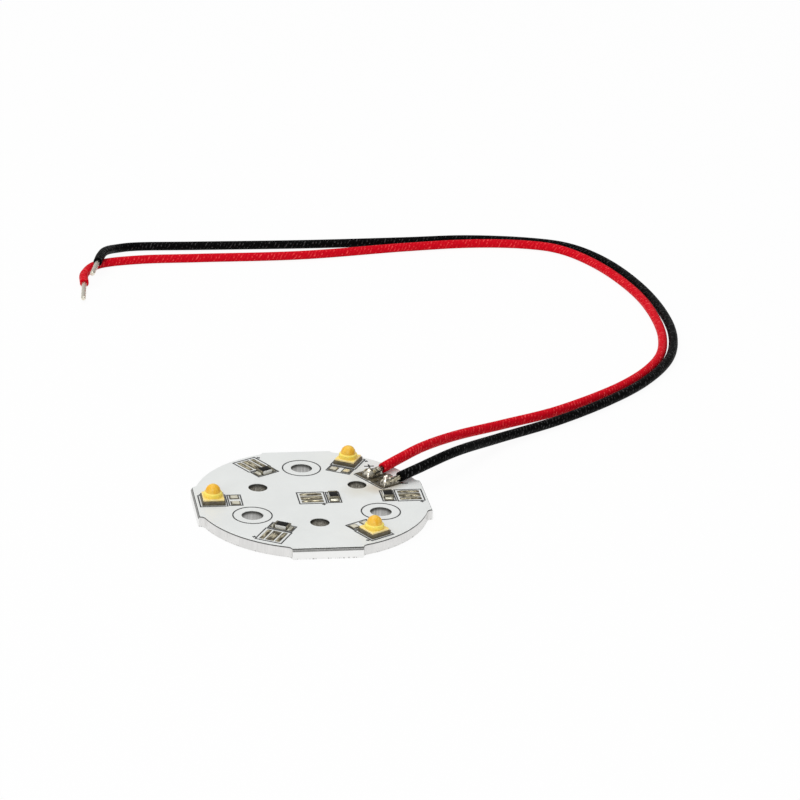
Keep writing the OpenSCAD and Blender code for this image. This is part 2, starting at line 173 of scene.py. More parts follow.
def add_camera():
    """The camera at the place found from the board's holes, rings and leads."""
    right = Vector((0.98542, -0.16471, 0.04258))
    up = Vector((0.02433, 0.38410, 0.92298))
    back = Vector((-0.16838, -0.90848, 0.38250))
    lens = bpy.data.cameras.new("camera")
    lens.lens = 148.5
    lens.sensor_width = 36
    lens.shift_x = -0.000625
    lens.shift_y = 0.000625
    lens.clip_start = 0.01
    lens.clip_end = 20
    camera = bpy.data.objects.new("camera", lens)
    turn = Matrix((right, up, back)).transposed().to_4x4()
    at = Vector((-60.0, -383.3, 176.2)) * MM
    camera.matrix_world = Matrix.Translation(at) @ turn
    scene.collection.objects.link(camera)
    scene.camera = camera


def add_lamp(name, at, size, energy):
    """A soft square lamp that faces the board."""
    lamp = bpy.data.lights.new(name, "AREA")
    lamp.shape = "SQUARE"
    lamp.size = size
    lamp.energy = energy
    piece = bpy.data.objects.new(name, lamp)
    piece.location = at
    piece.rotation_euler = (Vector(LAMP_AIM) - Vector(at)).to_track_quat("-Z", "Y").to_euler()
    scene.collection.objects.link(piece)


def add_world():
    """A white tent that is brightest above and behind, and dimmer towards the camera."""
    world = bpy.data.worlds.new("tent")
    world.use_nodes = True
    tree = world.node_tree
    towards = add_node(tree, "TexCoord").outputs["Generated"]
    rise = add_node(tree, "VectorMath", {0: towards, 1: (-0.20, 0.10, 0.16)}, operation="DOT_PRODUCT")
    tone = add_node(tree, "Math", {0: rise.outputs["Value"], 1: 0.42}, operation="ADD", use_clamp=True)
    tree.links.new(tone.outputs[0], tree.nodes["Background"].inputs["Color"])
    tree.nodes["Background"].inputs["Strength"].default_value = 1.0
    scene.world = world


def add_floor():
    """A white floor, white to the camera and in reflections, that keeps a faint shadow."""
    bm = bmesh.new()
    bmesh.ops.create_grid(bm, x_segments=1, y_segments=1, size=FLOOR_SIZE)
    bmesh.ops.translate(bm, vec=(0, 0, -FLOOR_DROP), verts=bm.verts)
    mesh = bpy.data.meshes.new("floor")
    bm.to_mesh(mesh)
    bm.free()
    floor = bpy.data.objects.new("floor", mesh)
    scene.collection.objects.link(floor)
    paper = bpy.data.materials.new("floor_paper")
    paper.use_nodes = True
    tree = paper.node_tree
    tree.nodes.remove(tree.nodes["Principled BSDF"])
    lit = add_node(tree, "BsdfDiffuse", {"Color": (0.92, 0.92, 0.92, 1)})
    white = add_node(tree, "Emission", {"Color": (1, 1, 1, 1), "Strength": 1.0})
    path = add_node(tree, "LightPath").outputs
    seen = math_node(tree, "MAXIMUM", path["Is Camera Ray"], path["Is Glossy Ray"])
    seen = math_node(tree, "MAXIMUM", seen, path["Is Transmission Ray"])
    share = times(tree, seen, WHITE_SHARE)
    mixed = add_node(tree, "MixShader", {0: share, 1: lit.outputs[0], 2: white.outputs[0]})
    tree.links.new(mixed.outputs[0], tree.nodes["Material Output"].inputs["Surface"])
    mesh.materials.append(paper)


add_camera()
add_world()
add_floor()
add_lamp("overhead_softbox", (-0.06, 0.12, 0.52), 0.45, 1.08)
add_lamp("front_softbox", (-0.18, -0.48, 0.34), 0.35, 1.10)


# Node groups and materials


def new_group(name, wanted, given):
    """An empty node group with value inputs and outputs, and its two end nodes."""
    group = bpy.data.node_groups.new(name, "ShaderNodeTree")
    for label, kind, value in wanted:
        socket = group.interface.new_socket(label, in_out="INPUT", socket_type=kind)
        socket.default_value = value
    for label, kind in given:
        group.interface.new_socket(label, in_out="OUTPUT", socket_type=kind)
    return group, group.nodes.new("NodeGroupInput"), group.nodes.new("NodeGroupOutput")


def make_grain():
    """Soft cloudy patches of a chosen size in millimetres, from 0 to 1."""
    group, wanted, given = new_group(
        "grain",
        [("Size", "NodeSocketFloat", 1.0), ("Detail", "NodeSocketFloat", 3.0),
         ("Low", "NodeSocketFloat", 0.35), ("High", "NodeSocketFloat", 0.65)],
        [("Mask", "NodeSocketFloat")])
    scale = math_node(group, "DIVIDE", 1.0, wanted.outputs["Size"])
    cloud = add_node(group, "TexNoise", {"Vector": place_in_mm(group), "Scale": scale,
                                         "Detail": wanted.outputs["Detail"], "Roughness": 0.55})
    mask = stretched(group, cloud.outputs[0], wanted.outputs["Low"], wanted.outputs["High"])
    group.links.new(mask, given.inputs["Mask"])
    return group


def make_tin_skin():
    """Reflowed tin: bright and dull patches, brown flux in the hollows, and a slightly uneven skin."""
    group, wanted, given = new_group(
        "tin_skin",
        [("Place", "NodeSocketVector", (0, 0, 0)), ("Flux", "NodeSocketFloat", 0.3),
         ("Size", "NodeSocketFloat", 0.6)],
        [("Colour", "NodeSocketColor"), ("Roughness", "NodeSocketFloat"), ("Height", "NodeSocketFloat"),
         ("Flux", "NodeSocketFloat")])
    place = wanted.outputs["Place"]
    scale = math_node(group, "DIVIDE", 1.0, wanted.outputs["Size"])
    wide = add_node(group, "TexNoise", {"Vector": place, "Scale": scale, "Detail": 3.0, "Roughness": 0.6})
    fine = add_node(group, "TexNoise", {"Vector": place, "Scale": 5.0, "Detail": 3.0, "Roughness": 0.55})
    dull = stretched(group, fine.outputs[0], 0.4, 0.7)
    low = math_node(group, "SUBTRACT", 0.82, wanted.outputs["Flux"])
    high = plus(group, low, 0.12)
    flux = add_node(group, "MapRange", {"Value": wide.outputs[0], "From Min": low, "From Max": high})
    tin = mixed_colour(group, dull, (0.90, 0.825, 0.60, 1), (0.43, 0.365, 0.225, 1))
    colour = mixed_colour(group, flux.outputs[0], tin, (0.062, 0.047, 0.020, 1))
    rough = stretched(group, fine.outputs[0], 0.3, 0.75, 0.1, 0.3)
    group.links.new(colour, given.inputs["Colour"])
    group.links.new(rough, given.inputs["Roughness"])
    group.links.new(fine.outputs[0], given.inputs["Height"])
    group.links.new(flux.outputs[0], given.inputs["Flux"])
    return group


GRAIN = make_grain()
TIN_SKIN = make_tin_skin()


def place_group(tree, group, **values):
    """A group placed in a material with its own values and fed sockets."""
    return add_node(tree, "Group", values, node_tree=group).outputs


def grain(tree, size, detail, low, high):
    """Cloudy patches of a size in millimetres, between two levels of the noise."""
    return place_group(tree, GRAIN, Size=size, Detail=detail, Low=low, High=high)["Mask"]


def map_parts(tree, name):
    """The two measures of one of the piece's own maps."""
    return add_node(tree, "SeparateXYZ", {0: add_node(tree, "UVMap", uv_map=name).outputs[0]}).outputs


def new_material(name, **constants):
    """A material, its tree and its shader with the shader's plain settings."""
    material = bpy.data.materials.new(name)
    material.use_nodes = True
    tree = material.node_tree
    shader = tree.nodes["Principled BSDF"]
    for label, value in constants.items():
        shader.inputs[label.replace("_", " ")].default_value = value
    return material, tree, shader


def feed(tree, shader, **fed):
    """Feeds sockets of the shader, named with an underscore for a space."""
    for label, value in fed.items():
        tree.links.new(value, shader.inputs[label.replace("_", " ")])


def bumped(tree, shader, height, distance):
    """Feeds a height in millimetres into the shader's normal."""
    bump = add_node(tree, "Bump", {"Height": height, "Distance": distance * MM, "Strength": 1.0})
    feed(tree, shader, Normal=bump.outputs[0])


def insulation(name, base, groove_shade, pale, specular):
    """Extruded lead cover with slanted ridges along the lay of the strands below, painted shade in the
    grooves and painted glints as pale flecks on the ridges.
    """
    material, tree, shader = new_material(name, Specular_IOR_Level=specular)
    parts = map_parts(tree, "lay")
    starts, pitch = 4.0, 2.3
    turns = times(tree, parts[1], starts)
    run = times(tree, parts[0], starts / pitch)
    wobble = grain(tree, 0.8, 2.0, 0.2, 0.8)
    lay = plus(tree, math_node(tree, "SUBTRACT", run, turns), times(tree, wobble, 0.8))
    wave = math_node(tree, "SINE", times(tree, lay, 2 * math.pi))
    ridge = stretched(tree, wave, -1.0, 1.0)
    speckle = grain(tree, 0.4, 2.0, 0.5, 0.64)
    height = plus(tree, times(tree, ridge, 0.5), times(tree, speckle, 0.5))
    # painted highlight: pale flecks on the ridges stand in for glints
    fleck = times(tree, speckle, stretched(tree, ridge, 0.6, 0.95))
    # painted shade: the grooves between the ridges are darker
    colour = mixed_colour(tree, stretched(tree, ridge, 0.0, 1.0, 0.45, 1.0), groove_shade, base)
    colour = mixed_colour(tree, fleck, colour, pale)
    feed(tree, shader, Base_Color=colour,
         Roughness=stretched(tree, speckle, 0, 1, 0.5, 0.34))
    bumped(tree, shader, height, 0.03)
    return material


# painted reflection: a dark grey that the caps' tin is toned towards, standing in for dark surroundings
# reflected in the metal
CAP_DARK_REFLECTION = (0.06, 0.058, 0.05, 1)


def tin(name, flux, size, bump=0.012, tone_share=0.0, coat=CAP_DARK_REFLECTION, mapped=False, rim=0.0, metal=1.0):
    """Tinned metal; mapped pads have streaks along them and a dark rim at their edges."""
    material, tree, shader = new_material(name)
    place = place_in_mm(tree)
    if mapped:
        along = add_node(tree, "UVMap", uv_map="bar").outputs[0]
        place = add_node(tree, "Mapping", {"Vector": along, "Scale": (0.5, 1.5, 1.0)}).outputs[0]
    skin = place_group(tree, TIN_SKIN, Place=place, Flux=flux, Size=size)
    colour = mixed_colour(tree, tone_share, skin["Colour"], coat)
    brown = skin["Flux"]
    if mapped:
        parts = map_parts(tree, "edge")
        edge = math_node(tree, "MAXIMUM", size_of(tree, parts[0]), size_of(tree, parts[1]))
        edge = plus(tree, edge, times(tree, skin["Height"], 0.5))
        ring = stretched(tree, edge, 0.86, 1.04, 0.0, rim)
        colour = mixed_colour(tree, ring, colour, (0.05, 0.04, 0.02, 1))
        brown = math_node(tree, "MAXIMUM", brown, ring)
    rough = plus(tree, skin["Roughness"], times(tree, brown, 0.1))
    feed(tree, shader, Base_Color=colour, Roughness=rough, Metallic=stretched(tree, brown, 0, 1, metal, 0.3))
    bumped(tree, shader, skin["Height"], bump)
    return material


def joint_solder():
    """Hand-made joints: smooth bright solder above, painted dark reflections low down and in patches, dark
    flux where it meets the pad.
    """
    material, tree, shader = new_material("joint_solder")
    skin = place_group(tree, TIN_SKIN, Place=place_in_mm(tree), Flux=0.2, Size=0.5)
    up = add_node(tree, "SeparateXYZ", {0: place_in_mm(tree)}).outputs[2]
    foot = stretched(tree, up, PAD_TOP + 0.13, PAD_TOP + 0.27, 1.0, 0.0)
    patch = grain(tree, 0.7, 3.0, 0.26, 0.42)
    stain = times(tree, foot, patch)
    burnt = grain(tree, 0.45, 3.0, 0.35, 0.62)
    brown = mixed_colour(tree, burnt, (0.018, 0.014, 0.008, 1), (0.10, 0.078, 0.040, 1))
    # painted reflection: dark patches and a darker lower part stand in for dark surroundings reflected in the
    # solder
    dark_reflection_patches = grain(tree, 0.5, 2.0, 0.45, 0.56)
    low = math_node(tree, "MAXIMUM", stretched(tree, up, PAD_TOP + 0.2, PAD_TOP + 0.62, 0.85, 0.0),
                    times(tree, dark_reflection_patches, 0.85))
    bright = mixed_colour(tree, 0.5, skin["Colour"], (0.96, 0.93, 0.89, 1))
    colour = mixed_colour(tree, low, bright, (0.085, 0.072, 0.05, 1))
    colour = mixed_colour(tree, stain, colour, brown)
    feed(tree, shader, Base_Color=colour,
         Roughness=stretched(tree, skin["Roughness"], 0.1, 0.3, 0.07, 0.2),
         Metallic=stretched(tree, stain, 0, 1, 1.0, 0.2))
    bumped(tree, shader, skin["Height"], 0.03)
    return material


def strands(name, flux, silver):
    """Tinned wires, silver with slightly duller patches, and browner where flux has run along them."""
    material, tree, shader = new_material(name, Metallic=1.0)
    skin = place_group(tree, TIN_SKIN, Place=place_in_mm(tree), Flux=flux, Size=0.5)
    colour = mixed_colour(tree, silver, skin["Colour"], (0.84, 0.84, 0.82, 1))
    feed(tree, shader, Base_Color=colour,
         Roughness=stretched(tree, skin["Roughness"], 0.1, 0.3, 0.2, 0.38))
    bumped(tree, shader, skin["Height"], 0.008)
    return material


def white_mask():
    """White solder mask: satin, cloudy, cream at the sites, tan by the lead pads and brown between them."""
    material, tree, shader = new_material("white_mask", Specular_IOR_Level=0.4)
    cloud = grain(tree, 4.0, 3.0, 0.3, 0.7)
    fleck = grain(tree, 0.12, 2.0, 0.68, 0.8)
    place = place_in_mm(tree)
    colour = mixed_colour(tree, cloud, (0.80, 0.818, 0.806, 1), (0.832, 0.85, 0.838, 1))
    turns = [math.radians(angle) for angle in RIM_SITES]
    sites = [(SITE_R * math.cos(turn), SITE_R * math.sin(turn)) for turn in turns] + [(0.0, 0.0)]
    # stains: place, reach, strength and tone
    marks = [((*at, MASK_TOP), 1.9, 0.5, (0.72, 0.68, 0.55, 1)) for at in sites]
    marks += [((6.6, 1.6, MASK_TOP), 3.0, 0.42, (0.65, 0.60, 0.47, 1)),
              ((9.2, 2.6, MASK_TOP), 2.8, 0.62, (0.58, 0.475, 0.33, 1)),
              ((11.6, 3.4, MASK_TOP), 2.0, 0.62, (0.50, 0.44, 0.33, 1)),
              ((8.0, 6.6, MASK_TOP), 2.6, 0.52, (0.58, 0.53, 0.42, 1))]
    for at, reach, strength, tone in marks:
        far = add_node(tree, "VectorMath", {0: place, 1: at}, operation="DISTANCE").outputs["Value"]
        spread = plus(tree, far, times(tree, cloud, 0.8))
        stain = stretched(tree, spread, reach * 0.3, reach * 1.1, strength, 0.0)
        colour = mixed_colour(tree, stain, colour, tone)
    # the strip between the lead pads, in the frame of the leads' radius
    turn = (0, 0, -math.radians(LEAD_ANGLE))
    leads = add_node(tree, "Mapping", {"Vector": place, "Rotation": turn}).outputs[0]
    leads = add_node(tree, "SeparateXYZ", {0: leads}).outputs
    edge = times(tree, grain(tree, 0.6, 3.0, 0.2, 0.8), 0.35)
    across = plus(tree, size_of(tree, leads[1]), edge)
    middle = size_of(tree, math_node(tree, "SUBTRACT", leads[0], LEAD_PAD_IN + LEAD_PAD_L / 2))
    burnt = times(tree, stretched(tree, across, 0.45, 0.6, 1.0, 0.0),
                  stretched(tree, plus(tree, middle, edge), 1.75, 1.95, 1.0, 0.0))
    brown = mixed_colour(tree, cloud, (0.045, 0.036, 0.021, 1), (0.12, 0.098, 0.058, 1))
    colour = mixed_colour(tree, burnt, colour, brown)
    colour = mixed_colour(tree, times(tree, fleck, 0.25), colour, (0.5, 0.5, 0.5, 1))
    feed(tree, shader, Base_Color=colour,
         Roughness=stretched(tree, cloud, 0, 1, 0.32, 0.42))
    fine = grain(tree, 0.25, 3.0, 0.2, 0.8)
    bumped(tree, shader, fine, 0.004)
    return material


def bare_aluminium():
    """The plate: milled rim and hole walls with upright marks, painted shade at the walls' top, grey torn
    score faces, brushed underside.
    """
    material, tree, shader = new_material("bare_aluminium", Metallic=1.0)
    place = place_in_mm(tree)
    x, y, high = add_node(tree, "SeparateXYZ", {0: place}).outputs
    facing = add_node(tree, "SeparateXYZ", {0: add_node(tree, "NewGeometry").outputs["Normal"]}).outputs[2]
    upright = add_node(tree, "TexNoise", {"Vector": place_in_mm(tree, (4, 4, 0.25)), "Scale": 1.0,
                                          "Detail": 4.0, "Roughness": 0.65}).outputs[0]
    brushed = add_node(tree, "TexNoise", {"Vector": place_in_mm(tree, (0.35, 14, 1)), "Scale": 1.0,
                                          "Detail": 4.0, "Roughness": 0.6}).outputs[0]
    broad = grain(tree, 2.2, 3.0, 0.3, 0.7)
    grit = grain(tree, 0.16, 4.0, 0.35, 0.65)
    # how far each part of the plate is from its middle tells the rim from the hole walls
    flat = add_node(tree, "CombineXYZ", {0: x, 1: y}).outputs[0]
    out = add_node(tree, "VectorMath", {0: flat}, operation="LENGTH").outputs["Value"]
    in_hole = stretched(tree, out, 12.6, 12.2)
    # leg holes and screw holes take turns round the board, three of each
    round_board = math_node(tree, "ARCTAN2", y, x)
    in_leg_hole = stretched(tree, math_node(tree, "SINE", times(tree, round_board, 3.0)), -0.1, 0.1)
    flat_face = stretched(tree, size_of(tree, facing), 0.93, 0.97)
    other_face = math_node(tree, "SUBTRACT", 1.0, flat_face)
    score = times(tree, stretched(tree, facing, 0.2, 0.3), other_face)
    streak = plus(tree, times(tree, stretched(tree, upright, 0.35, 0.62), 0.6), times(tree, broad, 0.4))
    rim = mixed_colour(tree, streak, (0.70, 0.695, 0.685, 1), (0.84, 0.835, 0.82, 1))
    # the straight edges are paler, and a dark line lies below the top of the rim
    tab = math_node(tree, "MAXIMUM", size_of(tree, x), size_of(tree, y))
    tab = stretched(tree, tab, BOARD_R - 0.15, BOARD_R - 0.08)
    rim = mixed_colour(tree, times(tree, tab, 0.85), rim, (0.94, 0.94, 0.93, 1))
    line = stretched(tree, high, PLATE_TOP - 0.1, PLATE_TOP - 0.02, 0.0, 0.7)
    rim = mixed_colour(tree, line, rim, (0.1, 0.1, 0.1, 1))
    drilled = stretched(tree, upright, 0.34, 0.64)
    wall = mixed_colour(tree, drilled, (0.36, 0.36, 0.35, 1), (0.60, 0.60, 0.59, 1))
    leg = mixed_colour(tree, grit, (0.112, 0.103, 0.083, 1), (0.382, 0.365, 0.322, 1))
    wall = mixed_colour(tree, in_leg_hole, wall, leg)
    # painted shade: the hole walls darken towards their top edge, as if shaded by the rim above them
    painted_wall_shade = stretched(tree, high, PLATE_TOP - 0.4, PLATE_TOP - 0.12, 0.0, 0.8)
    wall = mixed_colour(tree, painted_wall_shade, wall, (0.07, 0.07, 0.065, 1))
    side = mixed_colour(tree, in_hole, rim, wall)
    upper = stretched(tree, high, BOARD_T - 0.5, BOARD_T - 0.1)
    torn = mixed_colour(tree, upper, (0.30, 0.30, 0.29, 1), (0.62, 0.62, 0.61, 1))
    torn = mixed_colour(tree, times(tree, grit, 0.5), torn, (0.18, 0.18, 0.175, 1))
    lines = stretched(tree, brushed, 0.3, 0.7)
    under = mixed_colour(tree, lines, (0.62, 0.62, 0.62, 1), (0.82, 0.82, 0.82, 1))
    burr = times(tree, stretched(tree, high, 0.1, 0.22, 1.0, 0.0), stretched(tree, upright, 0.55, 0.6))
    side = mixed_colour(tree, times(tree, burr, 0.6), side, (0.12, 0.12, 0.12, 1))
    colour = mixed_colour(tree, score, side, torn)
    colour = mixed_colour(tree, flat_face, colour, under)
    rough = stretched(tree, upright, 0.3, 0.7, 0.34, 0.46)
    rough = plus(tree, rough, times(tree, score, 0.25))
    feed(tree, shader, Base_Color=colour, Roughness=rough)
    marks = plus(tree, times(tree, upright, 0.22), times(tree, grit, times(tree, score, 0.7)))
    marks = plus(tree, times(tree, marks, other_face), times(tree, brushed, times(tree, flat_face, 0.4)))
    bumped(tree, shader, marks, 0.03)
    return material


def patched(name, first, second, size, rough, bump=0.004, **constants):
    """A finish with soft patches between two near colours and a slightly uneven skin."""
    material, tree, shader = new_material(name, **constants)
    cloud = grain(tree, size, 4.0, 0.3, 0.7)
    fine = grain(tree, size / 4, 3.0, 0.25, 0.75)
    feed(tree, shader, Base_Color=mixed_colour(tree, cloud, first, second),
         Roughness=stretched(tree, fine, 0, 1, rough[0], rough[1]))
    bumped(tree, shader, fine, bump)
    return material


def link_ceramic():
    """Chip body: pale ceramic in an oval along each side, with grey metal wrapped round it."""
    material, tree, shader = new_material("link_ceramic")
    parts = map_parts(tree, "side")
    along = math_node(tree, "DIVIDE", parts[0], 0.92)
    up = math_node(tree, "DIVIDE", math_node(tree, "SUBTRACT", parts[1], 0.26), 0.29)
    fine = grain(tree, 0.3, 3.0, 0.3, 0.7)
    far = plus(tree, times(tree, along, along), times(tree, up, up))
    far = plus(tree, far, times(tree, fine, 0.2))
    metal = stretched(tree, far, 0.9, 1.25)
    pale = mixed_colour(tree, fine, (0.74, 0.74, 0.69, 1), (0.86, 0.86, 0.82, 1))
    dark = mixed_colour(tree, fine, (0.16, 0.155, 0.13, 1), (0.32, 0.305, 0.26, 1))
    feed(tree, shader, Base_Color=mixed_colour(tree, metal, pale, dark),
         Roughness=stretched(tree, fine, 0, 1, 0.45, 0.65))
    bumped(tree, shader, fine, 0.006)
    return material


def led_silicone():
    """Moulded lens: orange through the thick dome, lemon in the brim with its top painted lighter, cream at
    the flange's edge, and painted inner light.
    """
    material, tree, shader = new_material(
        "led_silicone", IOR=1.41, Specular_IOR_Level=0.35, Coat_Weight=0.12, Coat_Roughness=0.08,
        Subsurface_Weight=0.08, Subsurface_Scale=0.0004, Subsurface_Radius=(0.7, 0.55, 0.3))
    tone = add_node(tree, "Attribute", attribute_name="lens_tone", attribute_type="GEOMETRY").outputs["Fac"]
    ramp = add_node(tree, "ValToRGB", {0: tone})
    stops = ramp.color_ramp.elements
    stops[0].position, stops[0].color = 0.0, (1.0, 0.82, 0.42, 1)
    stops[1].position, stops[1].color = 1.0, (0.97, 0.62, 0.085, 1)
    # painted light: in the brim the stops rise from a darker foot to a lighter rounded top, as lit from above
    for position, colour in ((0.10, (1.0, 0.78, 0.24, 1)), (0.16, (1.0, 0.68, 0.09, 1)),
                             (0.24, (1.0, 0.78, 0.11, 1)), (0.33, (1.0, 0.84, 0.17, 1)),
                             (0.40, (1.0, 0.80, 0.16, 1)), (0.46, (0.93, 0.54, 0.055, 1)),
                             (0.60, (0.92, 0.475, 0.028, 1)), (0.82, (0.94, 0.50, 0.03, 1))):
        stop = stops.new(position)
        stop.color = colour
    cloud = grain(tree, 0.5, 2.0, 0.3, 0.7)
    # painted light: lighter orange upright streaks stand in for light refracted inside the lens
    painted_inner_light = add_node(tree, "TexNoise", {"Vector": place_in_mm(tree, (1.6, 1.6, 0.4)), "Scale": 1.0,
                                       "Detail": 2.0, "Roughness": 0.5}).outputs[0]
    painted_inner_light = times(tree, stretched(tree, painted_inner_light, 0.42, 0.62), 0.4)
    colour = mixed_colour(tree, painted_inner_light, ramp.outputs[0], (1.0, 0.72, 0.14, 1))
    feed(tree, shader, Base_Color=colour,
         Roughness=stretched(tree, cloud, 0, 1, 0.22, 0.34))
    bumped(tree, shader, cloud, 0.01)
    return material


# lead cover colours: own colour, painted groove shade, painted glint colour, specular level
RED_COVER = insulation("red_insulation", (0.69, 0.003, 0.014, 1), (0.55, 0.002, 0.010, 1),
                       (1.0, 0.085, 0.09, 1), 0.03)
BLACK_COVER = insulation("black_insulation", (0.0022, 0.0022, 0.0024, 1), (0.0012, 0.0012, 0.0012, 1),
                         (0.065, 0.065, 0.066, 1), 0.025)
STRANDS = strands("tinned_strands", flux=0.1, silver=0.5)
TAIL_STRANDS = strands("fluxed_strands", flux=0.38, silver=0.12)
SITE_TIN = tin("site_tin", flux=0.38, size=0.45, mapped=True, rim=0.6, metal=0.9)
LINK_TIN = tin("link_pad_tin", flux=0.27, size=0.4, bump=0.01, tone_share=0.55, coat=(0.86, 0.85, 0.74, 1),
               mapped=True, rim=0.95, metal=0.4)
# the caps are toned mostly towards the painted dark reflection
CAP_TIN = tin("cap_tin", flux=0.28, size=0.4, bump=0.006, tone_share=0.72)
FILLET_TIN = tin("fillet_tin", flux=0.16, size=0.4, tone_share=0.6, coat=(0.64, 0.66, 0.61, 1), metal=0.8)
JOINT_SOLDER = joint_solder()
MASK_WHITE = white_mask()
PLATE_METAL = bare_aluminium()
INSULATOR = patched("insulating_layer", (0.012, 0.011, 0.010, 1), (0.03, 0.028, 0.024, 1), 0.4, (0.6, 0.8),
                    Specular_IOR_Level=0.15)
COPPER = patched("track_copper", (0.72, 0.34, 0.18, 1), (0.58, 0.27, 0.15, 1), 0.8, (0.3, 0.5), Metallic=1.0)
INK = patched("black_ink", (0.014, 0.014, 0.015, 1), (0.04, 0.04, 0.042, 1), 0.35, (0.5, 0.75), 0.006)
LED_CERAMIC = patched("led_ceramic", (0.055, 0.044, 0.024, 1), (0.19, 0.16, 0.10, 1), 0.5, (0.35, 0.55), 0.01)
LED_CONVERTER = patched("led_converter", (0.85, 0.6, 0.05, 1), (0.92, 0.7, 0.1, 1), 0.3, (0.5, 0.7))
LED_SILICONE = led_silicone()
LINK_CERAMIC = link_ceramic()
LINK_GLAZE = patched("link_overcoat", (0.006, 0.006, 0.006, 1), (0.016, 0.016, 0.015, 1), 0.35, (0.3, 0.45),
                     0.004, Specular_IOR_Level=0.05)
FLUX_AND_SHADE = patched("flux_and_contact_shade", (0.30, 0.285, 0.23, 1), (0.55, 0.53, 0.44, 1), 0.5, (0.2, 0.4), 0.01)


# Pieces


def finish_piece(name, bm, material, replaced=(), sharp=40):
    """Brings a bmesh to metres and puts the piece on the board, in place of the nodes it stands for."""
    bmesh.ops.remove_doubles(bm, verts=bm.verts, dist=0.0005)
    bmesh.ops.recalc_face_normals(bm, faces=bm.faces)
    bmesh.ops.scale(bm, vec=(MM, MM, MM), verts=bm.verts)
    for face in bm.faces:
        face.smooth = True
    mesh = bpy.data.meshes.new(name)
    bm.to_mesh(mesh)
    bm.free()
    mesh.materials.append(material)
    mesh.set_sharp_from_angle(angle=math.radians(sharp))
    piece = bpy.data.objects.new(name, mesh)
    scene.collection.objects.link(piece)
    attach(piece, "root")
    if replaced:
        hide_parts(*replaced)
    return piece


def turned(angle, x=0.0, y=0.0, z=0.0):
    """A place on the board, out along the radius at an angle in degrees."""
    return Matrix.Rotation(math.radians(angle), 4, "Z") @ Matrix.Translation((x, y, z))


# Leads: the covers run along smooth lines through the routes above


def route_points(rows):
    """The route's corner points in millimetres."""
    return [Vector((RIM_AT[0] + x, RIM_AT[1] + y, LEAD_D / 2 + TABLE_GAP + a * BOARD_T + b * LEAD_D))
            for x, y, a, b in rows]


def rounded_route(corners, steps=40):
    """A smooth line through the corners."""
    ends = [2 * corners[0] - corners[1]] + corners + [2 * corners[-1] - corners[-2]]
    line = []
    for a, b, c, d in zip(ends, ends[1:], ends[2:], ends[3:]):
        for k in range(steps):
            t = k / steps
            line.append(b + (c - a) * (t / 2) + (a - 2.5 * b + 2 * c - 0.5 * d) * t * t
                        + (1.5 * (b - c) + 0.5 * (d - a)) * t ** 3)
    return line + [corners[-1].copy()]


def even_steps(line, gap):
    """The line again with points an even gap apart, and its length."""
    run = [0.0]
    for a, b in zip(line, line[1:]):
        run.append(run[-1] + (b - a).length)
    count = round(run[-1] / gap)
    out, j = [], 0
    for k in range(count + 1):
        s = run[-1] * k / count
        while j < len(run) - 2 and run[j + 1] < s:
            j += 1
        share = (s - run[j]) / (run[j + 1] - run[j])
        out.append(line[j].lerp(line[j + 1], min(1.0, share)))
    return out, run[-1]


def side_and_up(along):
    """The level sideways direction and the upward one, square to a lead."""
    side = along.cross(Vector((0, 0, 1))).normalized()
    return side, side.cross(along).normalized()


def add_rings(bm, rings, uv=None):
    """Joins rows of points, each a ring, into a closed tube, with lengths and turns as its map."""
    rows = [[bm.verts.new(p) for p in ring] for ring, _ in rings]
    count = len(rows[0])
    for (first, (_, s0)), (second, (_, s1)) in zip(zip(rows, rings), zip(rows[1:], rings[1:])):
        for k in range(count):
            n = (k + 1) % count
            face = bm.faces.new((first[k], first[n], second[n], second[k]))
            if uv:
                marks = ((s0, k), (s0, k + 1), (s1, k + 1), (s1, k))
                for loop, (s, turn) in zip(face.loops, marks):
                    loop[uv].uv = (s, turn / count)
    bm.faces.new(rows[0])
    bm.faces.new(rows[-1])


def make_lead(name, rows, material):
    """A lead's cover with its two cut ends; also gives its path, length and end directions."""
    corners = route_points(rows)
    path, length = even_steps(rounded_route(corners), LEAD_STEP)
    start = (corners[1] - corners[0]).normalized()
    end = (corners[-1] - corners[-2]).normalized()
    r, core, sides = LEAD_D / 2, CORE_D / 2, 28
    bm = bmesh.new()
    uv = bm.loops.layers.uv.new("lay")
    rings = []

    def ring(at, along, radius, s):
        side, up = side_and_up(along)
        turn = 2 * math.pi / sides
        rings.append(([at + side * (radius * math.cos(k * turn)) + up * (radius * math.sin(k * turn))
                       for k in range(sides)], s))

    # a cut end, from inside the bore out to the full width: how far in along the lead, and the radius there
    cut = ((0.25, core + 0.01), (0.0, core + 0.02), (0.0, r - 0.06), (0.02, r - 0.02), (0.07, r))
    for inset, radius in cut:
        ring(path[0] + start * inset, start, radius, inset if radius == r else 0.0)
    for k in range(1, len(path) - 1):
        ring(path[k], (path[k + 1] - path[k - 1]).normalized(), r, length * k / (len(path) - 1))
    for inset, radius in reversed(cut):
        ring(path[-1] - end * inset, end, radius, length - inset if radius == r else length)
    add_rings(bm, rings, uv)
    piece = finish_piece(name, bm, material, (name,))
    return piece, path, length, start, end


